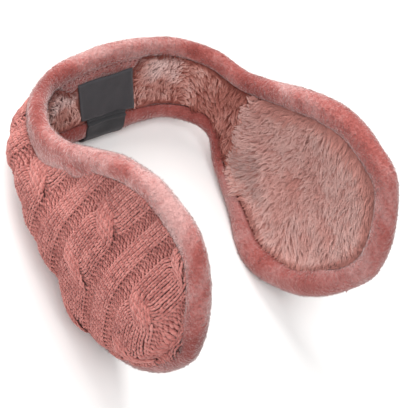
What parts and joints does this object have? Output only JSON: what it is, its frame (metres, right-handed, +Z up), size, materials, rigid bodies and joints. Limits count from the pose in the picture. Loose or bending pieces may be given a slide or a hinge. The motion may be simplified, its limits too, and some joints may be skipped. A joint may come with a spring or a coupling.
{
  "type": "behind-the-head knit ear warmer",
  "caption": "Padded band for the back of the head with a dished cup for each ear: cable knit outside, plush inside, velour rolls round every edge, and a bare label.",
  "frame": {"origin": "middle of the bounding box, on the surface that it rests on", "axes": "+Z up; the wearer faces -Y, so the band is at +Y; +X to the wearer's left; it leans back by 29.5 degrees from how it is worn"},
  "size_m": [0.1436, 0.1532, 0.108],
  "materials": {
    "knit": "dusty rose cable knit, matt",
    "velour": "brushed rose velour with a soft sheen",
    "plush_pale": "long combed plush, pale rose",
    "plush_deep": "plush, deeper rose",
    "label": "woven charcoal label, bare",
    "keeper": "folded dark grey woven tape"
  },
  "bodies": {
    "root": {"knit_band": "knit", "knit_cup_left": "knit", "knit_cup_right": "knit", "rim_band_upper": "velour", "rim_band_lower": "velour", "rim_cup_left": "velour", "rim_cup_right": "velour", "plush_band": "plush_deep", "plush_cup_left": "plush_pale", "plush_cup_right": "plush_pale", "label_patch": "label", "keeper_tab": "keeper"}
  },
  "joints": []
}
